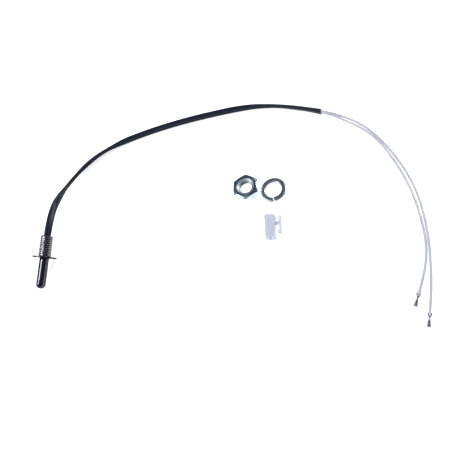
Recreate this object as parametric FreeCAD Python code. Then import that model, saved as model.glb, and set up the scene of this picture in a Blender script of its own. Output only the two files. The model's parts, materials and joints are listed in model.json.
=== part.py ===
"""A screw-in thermocouple kit laid out on a table: probe, two leads in a sleeve, lock nut, washer, connector.

Millimetres, +Z up, +X along the table. The origin is the centre of the probe flange's seat. The probe lies on its
flange's rim and its tip, so its axis leans and its cable end points up and away along +Y.
"""

import FreeCAD, Part
import math
import os

V = FreeCAD.Vector
os.makedirs("parts", exist_ok=True)

# Probe, by station along its axis: 0 is the flange's seat, plus is towards the cable.
THREAD_D = 10.0
THREAD_CHAMFER = 0.9
STUD_L = 15.0
FLANGE_D = 17.0
FLANGE_T = 1.2
FLANGE_CHAMFER = 0.2
BULB_D = 6.5
BULB_L = 22.0
SHEATH_WALL = 0.4
SHEATH_TOP = 5.0
NECK_D = 5.8
SHOULDER_L = 0.6
CABLE_BORE_D = 6.0
HEADING = 10.26  # degrees from +Y towards +X

# Inside the probe
JUNCTION_D = 1.3
WIRE_D = 0.5
WIRE_PITCH = 1.3
INSULATOR_D = 4.2
INSULATOR_L = 16.5
INSULATOR_BORE_D = 0.6
TIP_TO_INSULATOR = 3.4
FILLER_TOP = -4.0
SPLICE_D = 1.35
SPLICE_L = 5.5
SPLICE_LOW = 0.15
SPLICE_GAP = 0.03
POTTING_LOW = 11.4
POTTING_HIGH = 14.6

# Cable
SLEEVE_D = 4.3
SLEEVE_WALL = 0.25
SLEEVE_START = 11.0
INSULATION_START = 7.5
ROUTE_START = 5.0
CONDUCTOR_START = 3.4
LEAD_D = 1.6
LEAD_BORE_D = 0.8
LEAD_PITCH = 1.7
CONDUCTOR_D = 0.7
SLEEVE_REST = SLEEVE_D / 2
LEAD_REST = LEAD_D / 2
TANGENT_SHARE = 0.45

# Crimp contacts, along their own length from the end where the lead comes in. The inner one lies upside down.
CONTACT_L = 9.3
CONTACT_T = 0.25
CONTACT_H = 2.2
CONTACT_W = 2.8
CONTACT_REST = CONTACT_H / 2
CONTACT_TAPER_L = 1.5
INSULATION_CRIMP_L = 1.8
INSULATION_IN_CONTACT = 2.1
WIRE_CRIMP = (2.7, 4.5)
WIRE_CRIMP_D = 1.3
CONDUCTOR_IN_CONTACT = 4.6
CONTACT_BOX_START = 5.1
CRIMP_SEAM = 0.25

# Loose hardware
NUT_AF = 17.0
NUT_T = 6.0
NUT_BORE_D = 8.66
NUT_COUNTERSINK_D = 12.2
NUT_AT = V(148.9, 38.9, 0)
WASHER_OD = 18.0
WASHER_ID = 11.6
WASHER_T = 1.8
WASHER_RISE = 1.3
WASHER_GAP = 6.0  # degrees
WASHER_TURN = -94.0
WASHER_AT = V(167.9, 35.8, 0)

# Connector housing, lying on its side with its wire end towards +Y
HOUSING_LOW = V(162.0, -0.9, 0)
HOUSING_W = 6.8
HOUSING_L = 16.8
HOUSING_H = 6.6
COLLAR_L = 3.3
COLLAR_PROUD = 0.35
WAY_PITCH = 3.0
WAY_W = 3.0
WAY_H = 2.45
WAY_WALL = 1.2
WAY_MOUTH_D = 1.6
HOUSING_ROUND = 0.45
BRIDGE_Y = 10.8
BRIDGE_T = 2.0
BRIDGE_H = 2.8
LEVER_GAP = 2.5
LEVER_T = 1.75
LEVER_H = 3.6
LEVER_LOW_Y = 2.9
LEVER_HIGH_Y = 16.0
HOOK_OUT = 1.1
HOOK_L = 2.0
PIVOT_CLEARANCE = 0.08

# How the probe rests: the flange's rim and the round tip both touch the table.
rim_station = -(FLANGE_T - FLANGE_CHAMFER)
ball_station = -(FLANGE_T + BULB_L - BULB_D / 2)
rim_to_ball = rim_station - ball_station
LEAN = math.atan2(FLANGE_D / 2, rim_to_ball) - math.asin(BULB_D / 2 / math.hypot(rim_to_ball, FLANGE_D / 2))
FLOOR = rim_station * math.sin(LEAN) - FLANGE_D / 2 * math.cos(LEAN)

heading = math.radians(HEADING)
AXIS = V(math.sin(heading) * math.cos(LEAN), math.cos(heading) * math.cos(LEAN), math.sin(LEAN))
SIDE = V(math.cos(heading), -math.sin(heading), 0)
PROBE = FreeCAD.Placement(V(0, 0, 0), FreeCAD.Rotation(SIDE, AXIS.cross(SIDE), AXIS, "ZXY"))


def save(name, shape):
    shape.exportStep(f"parts/{name}.step")
    kinds = len(shape.Solids)
    print(f"{name}: {kinds} solid(s), {shape.Volume:.2f} mm3, valid {shape.isValid()}")


def rod(diameter, low, high, x=0.0, y=0.0):
    return Part.makeCylinder(diameter / 2, high - low, V(x, y, low))


def pipe(outer, inner, low, high, x=0.0):
    return rod(outer, low, high, x).cut(rod(inner, low, high, x))


def turned(profile):
    """A solid of revolution about Z from a closed outline of (radius, height) points."""
    corners = [V(r, 0, z) for r, z in profile]
    face = Part.Face(Part.makePolygon(corners + corners[:1]))
    return face.revolve(V(0, 0, 0), V(0, 0, 1), 360)


def on_probe(shape):
    shape.Placement = PROBE.multiply(shape.Placement)
    return shape


def station(distance):
    return AXIS * distance


def above_floor(x, y, height):
    return V(x, y, FLOOR + height)


# ---------------------------------------------------------------- probe shell


def sheath():
    """Deep-drawn closed tube with a round end, necked down where it is seated in the fitting."""
    outer, inner = BULB_D / 2, BULB_D / 2 - SHEATH_WALL
    neck_inner = NECK_D / 2 - SHEATH_WALL
    tube = rod(BULB_D, ball_station, -FLANGE_T).fuse(Part.makeSphere(outer, V(0, 0, ball_station)))
    tube = tube.fuse(rod(NECK_D, -(FLANGE_T + SHOULDER_L), SHEATH_TOP))
    hollow = rod(2 * inner, ball_station, -(FLANGE_T + SHOULDER_L))
    hollow = hollow.fuse(Part.makeSphere(inner, V(0, 0, ball_station)))
    hollow = hollow.fuse(rod(2 * neck_inner, ball_station, SHEATH_TOP))
    return tube.cut(hollow).removeSplitter()


def fitting():
    """Turned fitting: flange and stud in one piece, bored for the sheath below and the cable above."""
    stud, flange = THREAD_D / 2, FLANGE_D / 2
    outline = [
        (NECK_D / 2, -FLANGE_T),
        (flange - FLANGE_CHAMFER, -FLANGE_T),
        (flange, -FLANGE_T + FLANGE_CHAMFER),
        (flange, -FLANGE_CHAMFER),
        (flange - FLANGE_CHAMFER, 0),
        (stud, 0),
        (stud, STUD_L - THREAD_CHAMFER),
        (stud - THREAD_CHAMFER, STUD_L),
        (CABLE_BORE_D / 2, STUD_L),
        (CABLE_BORE_D / 2, SHEATH_TOP),
        (NECK_D / 2, SHEATH_TOP),
    ]
    return turned(outline)


# ---------------------------------------------------------------- sensing parts

insulator_low = -(FLANGE_T + BULB_L) + TIP_TO_INSULATOR
insulator_high = insulator_low + INSULATOR_L
junction_station = insulator_low - JUNCTION_D / 2 - 0.4
splice_high = SPLICE_LOW + SPLICE_L
splice_middle = SPLICE_LOW + SPLICE_L / 2
wire_top = splice_middle - 0.3
wire_side = WIRE_PITCH / 2
lead_side = LEAD_PITCH / 2


def junction():
    """Welded bead where the two wires meet."""
    return Part.makeSphere(JUNCTION_D / 2, V(0, 0, junction_station))


def thermo_wire(way):
    """One wire: from the bead, out through its bore of the insulator, spreading to its splice."""
    foot = V(way * 0.35, 0, junction_station + 0.35)
    bends = [
        foot,
        V(way * wire_side, 0, insulator_low + 0.3),
        V(way * wire_side, 0, insulator_high + 0.5),
        V(way * lead_side, 0, SPLICE_LOW - 0.8),
        V(way * lead_side, 0, wire_top),
    ]
    wire = None
    for start, end in zip(bends, bends[1:]):
        run = end - start
        piece = Part.makeCylinder(WIRE_D / 2, run.Length, start, run)
        wire = piece if wire is None else wire.fuse(piece)
        wire = wire.fuse(Part.makeSphere(WIRE_D / 2, end)) if end is not bends[-1] else wire
    return wire.cut(junction()).removeSplitter()


def insulator():
    """Ceramic rod with two bores that keep the wires apart."""
    body = rod(INSULATOR_D, insulator_low + 0.3, insulator_high)
    for way in (-1, 1):
        body = body.cut(rod(INSULATOR_BORE_D, insulator_low, insulator_high + 1, way * wire_side))
    return body


def filler():
    """Packed powder between the ceramic and the sheath, and round the bead."""
    inner = BULB_D / 2 - SHEATH_WALL - 0.01
    body = rod(2 * inner, ball_station, FILLER_TOP).fuse(Part.makeSphere(inner, V(0, 0, ball_station)))
    body = body.cut(rod(INSULATOR_D + 0.02, insulator_low + 0.29, insulator_high + 1))
    body = body.cut(rod(2 * WIRE_PITCH, junction_station - JUNCTION_D, insulator_low + 0.3))
    return body.removeSplitter()


def splice_barrel(way):
    """Copper tube pressed round a thermo wire's end below and its lead's conductor above."""
    x = way * lead_side
    wire_end = pipe(SPLICE_D, WIRE_D + 2 * SPLICE_GAP, SPLICE_LOW, splice_middle, x)
    lead_end = pipe(SPLICE_D, CONDUCTOR_D + 2 * SPLICE_GAP, splice_middle, splice_high, x)
    return wire_end.fuse(lead_end).removeSplitter()


def splice_sleeves():
    """Two short shrink tubes that insulate the splices."""
    tubes = []
    for way in (-1, 1):
        tubes.append(pipe(LEAD_PITCH - 0.04, SPLICE_D + 0.04, SPLICE_LOW - 0.5, splice_high + 0.9, way * lead_side))
    return Part.makeCompound(tubes)


def potting():
    """Ring of resin that holds the sleeve in the stud's bore."""
    return pipe(CABLE_BORE_D - 0.02, SLEEVE_D + 0.04, POTTING_LOW, POTTING_HIGH)


# ---------------------------------------------------------------- cable

# The sleeve's route. It comes straight out of the stud, comes down to the table and arches round to the right.
sleeve_route = [
    station(ROUTE_START),
    station(22.0),
    above_floor(4.2, 37.8, 12.2),
    above_floor(7.3, 51.5, 8.0),
    above_floor(13.1, 63.4, 5.2),
    above_floor(21.3, 74.6, 3.6),
    above_floor(32.3, 83.8, 2.8),
    above_floor(47.2, 91.1, SLEEVE_REST),
    above_floor(64.5, 96.8, SLEEVE_REST),
    above_floor(83.0, 100.8, SLEEVE_REST),
    above_floor(102.0, 103.8, SLEEVE_REST),
    above_floor(121.5, 105.8, SLEEVE_REST),
    above_floor(139.5, 107.0, SLEEVE_REST),
    above_floor(155.5, 106.7, SLEEVE_REST),
    above_floor(171.0, 104.1, SLEEVE_REST),
    above_floor(184.4, 100.1, SLEEVE_REST),
    above_floor(196.9, 95.9, SLEEVE_REST),
    above_floor(211.2, 90.0, SLEEVE_REST),
]

# Past the sleeve the two leads go their own ways. The last point of each is its conductor's end in its contact.
inner_lead_route = [
    above_floor(223.9, 81.8, 0.95),
    above_floor(234.5, 72.6, LEAD_REST),
    above_floor(243.4, 60.4, LEAD_REST),
    above_floor(250.0, 46.3, LEAD_REST),
    above_floor(255.6, 31.6, LEAD_REST),
    above_floor(259.1, 17.5, LEAD_REST),
    above_floor(261.1, 3.5, LEAD_REST),
    above_floor(262.1, -9.3, LEAD_REST),
    above_floor(261.1, -22.4, LEAD_REST),
    above_floor(257.2, -36.0, CONTACT_REST),
    above_floor(252.3, -48.6, CONTACT_REST),
]
outer_lead_route = [
    above_floor(225.0, 83.3, 0.95),
    above_floor(235.9, 74.0, LEAD_REST),
    above_floor(244.9, 61.4, LEAD_REST),
    above_floor(252.8, 46.2, LEAD_REST),
    above_floor(258.8, 31.0, LEAD_REST),
    above_floor(262.2, 16.0, LEAD_REST),
    above_floor(263.5, 1.5, LEAD_REST),
    above_floor(263.9, -12.0, LEAD_REST),
    above_floor(263.0, -25.5, LEAD_REST),
    above_floor(261.7, -38.5, LEAD_REST),
    above_floor(259.7, -50.8, CONTACT_REST),
    above_floor(257.6, -61.2, CONTACT_REST),
]


def beside(route, distance):
    """The route moved sideways by a distance, plus to the right of travel, mitred at its points."""
    rights = []
    for start, end in zip(route, route[1:]):
        run = end - start
        rights.append(V(run.y, -run.x, 0).normalize())
    moved = []
    for i, point in enumerate(route):
        before = rights[max(i - 1, 0)]
        after = rights[min(i, len(rights) - 1)]
        mitre = (before + after) / (1 + before.dot(after))
        moved.append(point + mitre * distance)
    return moved


def path(route, start_cut=0.0, end_cut=0.0):
    """Straight runs joined by tangent arcs, each arc as large as its runs allow. Also gives the smallest radius."""
    edges, radii = [], []
    last = route[0] + (route[1] - route[0]).normalize() * start_cut
    for before, corner, after in zip(route, route[1:], route[2:]):
        into, out = corner - before, after - corner
        tangent = TANGENT_SHARE * min(into.Length, out.Length)
        into.normalize()
        out.normalize()
        half_turn = into.getAngle(out) / 2
        radius = tangent / math.tan(half_turn)
        middle = corner + (out - into).normalize() * radius * (1 / math.cos(half_turn) - 1)
        arc_start, arc_end = corner - into * tangent, corner + out * tangent
        edges.append(Part.LineSegment(last, arc_start).toShape())
        edges.append(Part.Arc(arc_start, middle, arc_end).toShape())
        radii.append(radius)
        last = arc_end
    run = (route[-1] - route[-2]).normalize()
    edges.append(Part.LineSegment(last, route[-1] - run * end_cut).toShape())
    return Part.Wire(edges), radii


def cord(name, route, diameter, bore=0.0, start_cut=0.0, end_cut=0.0):
    """A round cord along the route, hollow where it has a bore."""
    line, radii = path(route, start_cut, end_cut)
    start = route[0] + (route[1] - route[0]).normalize() * start_cut
    direction = route[1] - route[0]
    solids = []
    for d in (diameter, bore):
        if d:
            ring = Part.Wire(Part.makeCircle(d / 2, start, direction))
            solids.append(line.makePipeShell([ring], True, False))
    solid = solids[0].cut(solids[1]) if bore else solids[0]
    section = math.pi * (diameter**2 - bore**2) / 4
    share = solid.Volume / (section * line.Length)
    print(f"{name}: length {line.Length:.1f}, volume over section x length {share:.4f}")
    print(f"  arc radii {[round(r) for r in radii]}")
    return solid


def lead_route(way, own_points):
    return beside(sleeve_route, way * lead_side) + own_points


# ---------------------------------------------------------------- crimp contacts


def box(low, high):
    size = high - low
    return Part.makeBox(size.x, size.y, size.z, low)


def tapered(inset):
    """The socket's outline: it widens from the neck, then runs straight. Inset, it is the hollow, open at both ends."""
    outer, neck = CONTACT_W / 2 - inset, 0.75 - inset
    start, end = CONTACT_BOX_START - 4 * inset, CONTACT_L + 4 * inset
    widest = CONTACT_BOX_START + CONTACT_TAPER_L
    plan = [(start, -neck), (start, neck), (widest, outer), (end, outer), (end, -outer), (widest, -outer)]
    low = -CONTACT_H / 2 + inset
    corners = [V(x, y, low) for x, y in plan]
    return Part.Face(Part.makePolygon(corners + corners[:1])).extrude(V(0, 0, CONTACT_H - 2 * inset))


def contact():
    """Stamped contact along +X: insulation crimp, wire crimp, neck and a hollow socket with a fork and a lance."""
    lay = FreeCAD.Rotation(V(0, 1, 0), 90)
    insulation_crimp = pipe(CONTACT_H, LEAD_D + 0.1, 0, INSULATION_CRIMP_L)
    wire_crimp = pipe(WIRE_CRIMP_D, CONDUCTOR_D + 0.06, *WIRE_CRIMP)
    shape = insulation_crimp.fuse(wire_crimp)
    shape.Placement = FreeCAD.Placement(V(0, 0, 0), lay)
    half = CONTACT_H / 2
    strip = box(V(0.3, -0.5, -0.96), V(CONTACT_BOX_START + 0.4, 0.5, -0.6))
    neck = box(V(WIRE_CRIMP[1] - 0.3, -0.62, -0.96), V(CONTACT_BOX_START + 0.1, 0.62, -0.3))
    socket = tapered(0.0).cut(tapered(CONTACT_T))
    seam = box(V(-1, -CRIMP_SEAM / 2, 0.4), V(INSULATION_CRIMP_L + 0.1, CRIMP_SEAM / 2, 2))
    fork = box(V(CONTACT_L - 1.6, -0.45, -2), V(CONTACT_L + 1, 0.45, 2))
    lance = box(V(CONTACT_BOX_START + 0.6, -0.4, half - CONTACT_T), V(CONTACT_BOX_START + 2.0, 0.4, half))
    lance.rotate(V(CONTACT_BOX_START + 2.0, 0, half), V(0, 1, 0), 12)
    lead_bore = rod(LEAD_D + 0.1, -1, INSULATION_IN_CONTACT + 0.1)
    wire_bore = rod(CONDUCTOR_D + 0.06, 0, CONDUCTOR_IN_CONTACT + 0.1)
    bores = lead_bore.fuse(wire_bore)
    bores.Placement = FreeCAD.Placement(V(0, 0, 0), lay)
    shape = shape.fuse([strip, neck]).cut(bores).fuse([socket, lance])
    return shape.cut(seam).cut(fork).removeSplitter()


def contact_on(route, roll):
    """The contact at the end of a lead's route, in line with its last run and rolled about it."""
    run = route[-1] - route[-2]
    start = route[-1] - run.normalize() * CONDUCTOR_IN_CONTACT
    shape = contact()
    turn = FreeCAD.Rotation(V(0, 0, 1), math.degrees(math.atan2(run.y, run.x)))
    shape.Placement = FreeCAD.Placement(start, turn.multiply(FreeCAD.Rotation(V(1, 0, 0), roll)))
    return shape


# ---------------------------------------------------------------- loose hardware


def hex_nut():
    """Hexagon nut, its corners chamfered on both faces, its bore at the thread's crests."""
    corner = NUT_AF / math.sqrt(3)
    points = [V(corner * math.sin(math.radians(60 * i)), corner * math.cos(math.radians(60 * i)), 0) for i in range(7)]
    prism = Part.Face(Part.makePolygon(points)).extrude(V(0, 0, NUT_T))
    face_r = 0.475 * NUT_AF
    drop = (corner - face_r) * math.tan(math.radians(30))
    blank = [(0, 0), (face_r, 0), (corner, drop), (corner, NUT_T - drop), (face_r, NUT_T), (0, NUT_T)]
    bore, sink = NUT_BORE_D / 2, NUT_COUNTERSINK_D / 2
    depth = (sink - bore) / math.tan(math.radians(60))
    hole = [(0, 0), (sink, 0), (bore, depth), (bore, NUT_T - depth), (sink, NUT_T), (0, NUT_T)]
    nut = prism.common(turned(blank)).cut(turned(hole))
    nut.translate(NUT_AT + V(0, 0, FLOOR))
    return nut


def lock_washer():
    """Split spring washer: a flat bar wound nearly one turn, one end raised."""
    turn = 360 - WASHER_GAP
    mean = (WASHER_OD + WASHER_ID) / 4
    width = (WASHER_OD - WASHER_ID) / 2
    helix = Part.makeHelix(WASHER_RISE * 360 / turn, WASHER_RISE, mean)
    low, high = V(mean - width / 2, 0, 0), V(mean + width / 2, 0, WASHER_T)
    corners = [low, V(high.x, 0, low.z), high, V(low.x, 0, high.z), low]
    bar = Part.Wire(helix.Edges).makePipeShell([Part.makePolygon(corners)], True, True)
    bar = bar.mirror(V(0, 0, 0), V(0, 1, 0))
    bar.rotate(V(0, 0, 0), V(0, 0, 1), WASHER_TURN)
    bar.translate(WASHER_AT + V(0, 0, FLOOR))
    return bar


# ---------------------------------------------------------------- connector

housing_low = HOUSING_LOW + V(0, 0, FLOOR)
housing_high = housing_low + V(HOUSING_W, HOUSING_L, HOUSING_H)
mid_z = housing_low.z + HOUSING_H / 2
pivot = V(housing_high.x + LEVER_GAP, housing_low.y + BRIDGE_Y, mid_z)


def upright(x, y, radius, height):
    """A vertical cylinder whose middle is at the housing's mid height."""
    return Part.makeCylinder(radius, height, V(x, y, mid_z - height / 2))


def rounded_bar(low, high):
    """A box with its edges along Y rounded."""
    bar = box(low, high)
    return bar.makeFillet(HOUSING_ROUND, [e for e in bar.Edges if abs(e.tangentAt(e.FirstParameter).y) > 0.99])


def housing():
    """Moulded two-way housing with a collar at its wire end and the bridge that carries the latch lever."""
    collar_low = V(housing_low.x - COLLAR_PROUD, housing_high.y - COLLAR_L, housing_low.z)
    collar_high = V(housing_high.x + COLLAR_PROUD, housing_high.y, housing_high.z)
    body = rounded_bar(housing_low, housing_high).fuse(rounded_bar(collar_low, collar_high))
    half_bridge = V(0, BRIDGE_T / 2, BRIDGE_H / 2)
    start = V(housing_high.x - 0.5, pivot.y, mid_z)
    bridge = box(start - half_bridge, pivot + half_bridge)
    bridge = bridge.fuse(upright(pivot.x, pivot.y, BRIDGE_T / 2, BRIDGE_H))
    body = body.fuse(bridge)
    middle = V((housing_low.x + housing_high.x) / 2, 0, mid_z)
    for way in (-1, 1):
        centre = middle + V(0, 0, way * WAY_PITCH / 2)
        half = V(WAY_W / 2, 0, WAY_H / 2)
        low = centre - half + V(0, housing_low.y + WAY_WALL, 0)
        high = centre + half + V(0, housing_high.y + 1, 0)
        body = body.cut(box(low, high))
        mouth = V(centre.x, housing_low.y - 1, centre.z)
        body = body.cut(Part.makeCylinder(WAY_MOUTH_D / 2, WAY_WALL + 2, mouth, V(0, 1, 0)))
    return body.removeSplitter()


def lever():
    """Rocking latch lever: a bar with a hook at the mating end and a thumb tab at the other."""
    inner_x = pivot.x
    outer_x = inner_x + LEVER_T
    low_y, high_y = housing_low.y + LEVER_LOW_Y, housing_low.y + LEVER_HIGH_Y
    z = mid_z - LEVER_H / 2
    outline = [
        V(outer_x, low_y + 0.5, z),
        V(outer_x, high_y - 0.4, z),
        V(outer_x - 0.4, high_y, z),
        V(inner_x, high_y, z),
        V(inner_x, low_y + HOOK_L, z),
        V(inner_x - HOOK_OUT, low_y + HOOK_L - 0.25, z),
        V(inner_x - HOOK_OUT, low_y + HOOK_L - 0.8, z),
        V(inner_x + 0.2, low_y, z),
        V(outer_x - 0.5, low_y, z),
    ]
    bar = Part.Face(Part.makePolygon(outline + outline[:1])).extrude(V(0, 0, LEVER_H))
    socket = upright(pivot.x, pivot.y, BRIDGE_T / 2 + PIVOT_CLEARANCE, LEVER_H + 1)
    return bar.cut(socket)


# ---------------------------------------------------------------- build

save("probe_sheath", on_probe(sheath()))
save("threaded_fitting", on_probe(fitting()))
save("sensing_junction", on_probe(junction()))
save("thermo_wire_positive", on_probe(thermo_wire(1)))
save("thermo_wire_negative", on_probe(thermo_wire(-1)))
save("ceramic_insulator", on_probe(insulator()))
save("thermal_filler", on_probe(filler()))
save("splice_barrel_inner", on_probe(splice_barrel(1)))
save("splice_barrel_outer", on_probe(splice_barrel(-1)))
save("splice_sleeves", on_probe(splice_sleeves()))
save("potting_ring", on_probe(potting()))

sleeve_end_cut = (sleeve_route[-1] - sleeve_route[-2]).Length / 2
sleeve_bore = SLEEVE_D - 2 * SLEEVE_WALL
save(
    "cable_sleeve",
    cord("sleeve", sleeve_route, SLEEVE_D, sleeve_bore, SLEEVE_START - ROUTE_START, sleeve_end_cut),
)
insulation_end_cut = CONDUCTOR_IN_CONTACT - INSULATION_IN_CONTACT
for side_name, way, own_points, roll in (("inner", 1, inner_lead_route, 180), ("outer", -1, outer_lead_route, 0)):
    route = lead_route(way, own_points)
    start_cut = INSULATION_START - ROUTE_START
    save(
        f"lead_{side_name}_insulation",
        cord(f"{side_name} lead", route, LEAD_D, LEAD_BORE_D, start_cut, insulation_end_cut),
    )
    start_cut = CONDUCTOR_START - ROUTE_START
    save(f"lead_{side_name}_conductor", cord(f"{side_name} conductor", route, CONDUCTOR_D, 0.0, start_cut))
    save(f"contact_{side_name}", contact_on(route, roll))

save("hex_nut", hex_nut())
save("lock_washer", lock_washer())
save("connector_housing", housing())
save("latch_lever", lever())
print(f"lean {math.degrees(LEAN):.3f} degrees, floor {FLOOR:.4f}, axis {AXIS}, side {SIDE}, pivot {pivot}")
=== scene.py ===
import json
import math

import bmesh
import bpy
from mathutils import Matrix, Vector


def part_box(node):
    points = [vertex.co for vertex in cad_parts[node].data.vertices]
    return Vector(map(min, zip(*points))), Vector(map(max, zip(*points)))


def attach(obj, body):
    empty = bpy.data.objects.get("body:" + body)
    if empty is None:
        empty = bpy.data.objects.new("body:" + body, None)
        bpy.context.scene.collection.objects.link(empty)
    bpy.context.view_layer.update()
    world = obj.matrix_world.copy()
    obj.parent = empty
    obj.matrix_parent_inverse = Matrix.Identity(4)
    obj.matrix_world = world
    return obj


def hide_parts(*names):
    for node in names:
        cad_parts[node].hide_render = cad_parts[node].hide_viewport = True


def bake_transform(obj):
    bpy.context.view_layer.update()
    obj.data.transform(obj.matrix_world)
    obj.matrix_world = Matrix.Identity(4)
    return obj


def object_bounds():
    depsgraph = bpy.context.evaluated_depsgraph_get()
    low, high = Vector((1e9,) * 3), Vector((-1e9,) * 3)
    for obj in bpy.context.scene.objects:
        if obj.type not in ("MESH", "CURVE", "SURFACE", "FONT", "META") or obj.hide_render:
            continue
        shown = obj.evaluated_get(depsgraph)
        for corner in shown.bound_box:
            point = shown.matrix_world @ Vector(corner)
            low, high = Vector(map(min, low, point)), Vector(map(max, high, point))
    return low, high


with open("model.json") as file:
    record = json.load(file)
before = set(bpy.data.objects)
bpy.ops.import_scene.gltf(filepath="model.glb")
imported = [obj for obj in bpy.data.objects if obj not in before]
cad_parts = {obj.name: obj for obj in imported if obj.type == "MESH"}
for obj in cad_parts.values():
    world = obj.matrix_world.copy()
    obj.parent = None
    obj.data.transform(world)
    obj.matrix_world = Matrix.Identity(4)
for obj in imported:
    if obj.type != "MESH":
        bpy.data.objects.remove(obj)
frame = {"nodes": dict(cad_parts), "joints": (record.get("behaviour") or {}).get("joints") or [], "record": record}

cad_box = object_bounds()

# One large softbox up on the left gives the bulb its bright stripe, and a weak one opposite opens the shadows.

contact_dip = 0.00029  # the CAD's inner contact reaches this far below the plane that everything else lies on
table_z = cad_box[0].z + contact_dip
table_gap = 0.00003  # keeps the table's face clear of the pieces that lie on it
UP = Vector((0, 0, 1))


def place(obj):
    bpy.context.scene.collection.objects.link(obj)
    return obj


def principled(name):
    made = bpy.data.materials.new(name)
    made.use_nodes = True
    return made, made.node_tree.nodes, made.node_tree.links, made.node_tree.nodes["Principled BSDF"]


table_mesh = bpy.data.meshes.new("table_top")
half_table = 4.0
table_signs = ((-1, -1), (1, -1), (1, 1), (-1, 1))
table_corners = [(sx * half_table, sy * half_table, table_z - table_gap) for sx, sy in table_signs]
table_mesh.from_pydata(table_corners, [], [(0, 1, 2, 3)])
table_top = place(bpy.data.objects.new("table_top", table_mesh))
table_paint, nodes, links, shader = principled("table_white")
shader.inputs["Base Color"].default_value = (0.90, 0.90, 0.92, 1)
shader.inputs["Roughness"].default_value = 0.6
shader.inputs["Emission Color"].default_value = (1.0, 1.0, 1.0, 1)
shader.inputs["Emission Strength"].default_value = 0.80
table_mesh.materials.append(table_paint)

world = bpy.data.worlds.new("dark_ceiling")
bpy.context.scene.world = world
world.use_nodes = True
nodes, links = world.node_tree.nodes, world.node_tree.links
nodes.clear()
seen = nodes.new("ShaderNodeLightPath")
ceiling = nodes.new("ShaderNodeBackground")
ceiling.inputs["Color"].default_value = (0.050, 0.066, 0.100, 1)
backdrop = nodes.new("ShaderNodeBackground")
backdrop.inputs["Color"].default_value = (0.93, 0.93, 0.94, 1)
both = nodes.new("ShaderNodeMixShader")
out = nodes.new("ShaderNodeOutputWorld")
links.new(seen.outputs["Is Camera Ray"], both.inputs["Fac"])
links.new(ceiling.outputs["Background"], both.inputs[1])
links.new(backdrop.outputs["Background"], both.inputs[2])
links.new(both.outputs["Shader"], out.inputs["Surface"])


def softbox(name, at, aim, width, height, power, colour):
    lamp = bpy.data.lights.new(name, "AREA")
    lamp.shape = "RECTANGLE"
    lamp.size, lamp.size_y = width, height
    lamp.energy, lamp.color = power, colour
    holder = place(bpy.data.objects.new(name, lamp))
    holder.location = at
    holder.rotation_mode = "QUATERNION"
    holder.rotation_quaternion = (Vector(aim) - Vector(at)).to_track_quat("-Z", "Y")
    return holder


softbox("key_softbox", (-0.56, -0.17, 0.94), (0.02, 0.0, 0.0), 0.26, 0.80, 9.0, (1.0, 1.0, 1.0))
softbox("weak_softbox", (0.95, 0.75, 0.90), (0.14, 0.03, 0.0), 0.40, 0.40, 12.0, (0.94, 0.97, 1.0))

camera_at = Vector((0.2271, -0.1390, 0.3265))
camera_aim = Vector((0.1401, 0.0056, table_z))
lens = bpy.data.cameras.new("camera")
lens.sensor_width = 36.0
lens.lens = 42.13
lens.clip_start, lens.clip_end = 0.01, 20.0
camera = place(bpy.data.objects.new("camera", lens))
back = (camera_at - camera_aim).normalized()
right = Vector((0, 1, 0)).cross(back).normalized()
turn = Matrix((right, back.cross(right), back)).transposed()
camera.matrix_world = Matrix.Translation(camera_at) @ turn.to_4x4()
bpy.context.scene.camera = camera
bpy.context.scene.view_settings.view_transform = "Standard"

# ---------------------------------------------------------------- cable sleeve
# Thin black PVC sleeving, squeezed flat over the two leads and twisted a little as it was laid.
# It is potted in the stud's mouth, comes down to the table and ends open where the leads part.

thread = next(m for m in frame["record"]["mounts"] if m["name"] == "thread")
axis = Vector(thread["axis"]).normalized()
across = axis.cross(UP).normalized()
on_probe = Matrix((across, axis.cross(across), axis)).transposed().to_4x4()


def station(distance):
    """A point on the probe's axis, that far from the flange's seat."""
    return axis * distance


def above_table(x, y, height):
    return Vector((x, y, table_z + height))


def smooth_line(name, points, steps):
    """Points along the smooth spline that has these control points."""
    data = bpy.data.curves.new(name, "CURVE")
    data.dimensions = "3D"
    spline = data.splines.new("NURBS")
    spline.points.add(len(points) - 1)
    for slot, point in zip(spline.points, points):
        slot.co = (*point, 1)
    spline.order_u = 3
    spline.use_endpoint_u = True
    spline.resolution_u = steps
    holder = place(bpy.data.objects.new(name, data))
    traced = bpy.data.meshes.new_from_object(holder)
    line = [v.co.copy() for v in traced.vertices]
    bpy.data.objects.remove(holder)
    bpy.data.curves.remove(data)
    bpy.data.meshes.remove(traced)
    return line


def lengths_along(line):
    run = [0.0]
    for before, after in zip(line, line[1:]):
        run.append(run[-1] + (after - before).length)
    return run


def trimmed(line, start, end):
    """The stretch of a line between two lengths along it."""
    run = lengths_along(line)
    kept = [p for p, s in zip(line, run) if start < s < end]
    for cut_at, where in ((start, 0), (end, len(kept) + 1)):
        i = max(k for k, s in enumerate(run[:-1]) if s <= cut_at)
        share = (cut_at - run[i]) / (run[i + 1] - run[i])
        kept.insert(where, line[i].lerp(line[i + 1], share))
    return kept


def frames_along(line):
    """The sideways and upward directions at each point of a line, level with the table."""
    for i in range(len(line)):
        forward = (line[min(i + 1, len(line) - 1)] - line[max(i - 1, 0)]).normalized()
        sideways = forward.cross(UP).normalized()
        yield sideways, sideways.cross(forward)


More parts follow.
